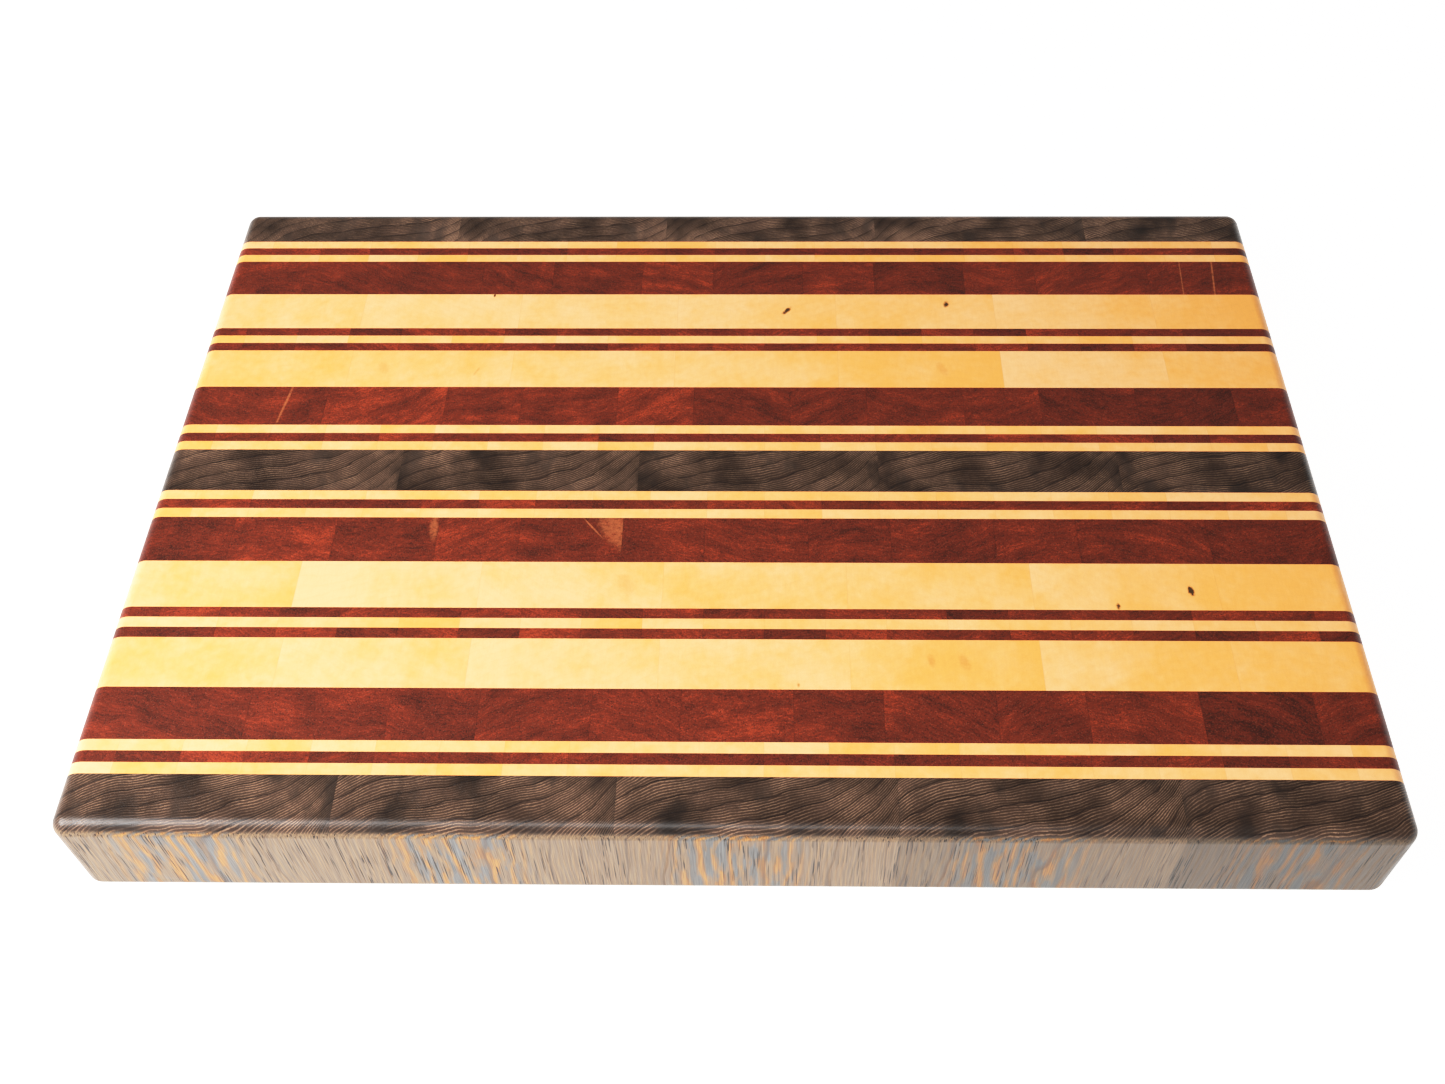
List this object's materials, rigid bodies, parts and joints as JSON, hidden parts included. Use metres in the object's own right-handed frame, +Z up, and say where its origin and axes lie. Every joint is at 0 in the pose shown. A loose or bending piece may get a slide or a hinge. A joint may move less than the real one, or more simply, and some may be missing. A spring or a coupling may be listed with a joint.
{
  "type": "cutting board",
  "caption": "Rectangular end-grain cutting board of wide and thin glued rows in dark, pale and red timber, with rounded edges.",
  "frame": {"origin": "centre of the underside, on the surface that the board stands on", "axes": "+X along the rows, +Y from the front edge to the back edge, +Z up through the work face"},
  "size_m": [0.508, 0.3434, 0.0508],
  "materials": {
    "wenge": "oiled wenge, end grain on the two faces, straight upright grain with dark vessel lines on the edges",
    "maple": "oiled hard maple, warm cream, fine end grain with a few pin knots",
    "padauk": "oiled padauk, red-brown, speckled pores, darker and lighter from block to block"
  },
  "bodies": {
    "root": {"wenge_row_1": "wenge", "wenge_row_2": "wenge", "wenge_row_3": "wenge", "maple_row_1": "maple", "maple_row_2": "maple", "maple_row_3": "maple", "maple_row_4": "maple", "padauk_row_1": "padauk", "padauk_row_2": "padauk", "padauk_row_3": "padauk", "padauk_row_4": "padauk", "maple_strip_1": "maple", "maple_strip_2": "maple", "maple_strip_3": "maple", "maple_strip_4": "maple", "maple_strip_5": "maple", "maple_strip_6": "maple", "maple_strip_7": "maple", "maple_strip_8": "maple", "maple_strip_9": "maple", "maple_strip_10": "maple", "padauk_strip_1": "padauk", "padauk_strip_2": "padauk", "padauk_strip_3": "padauk", "padauk_strip_4": "padauk", "padauk_strip_5": "padauk", "padauk_strip_6": "padauk", "padauk_strip_7": "padauk", "padauk_strip_8": "padauk"}
  },
  "joints": []
}
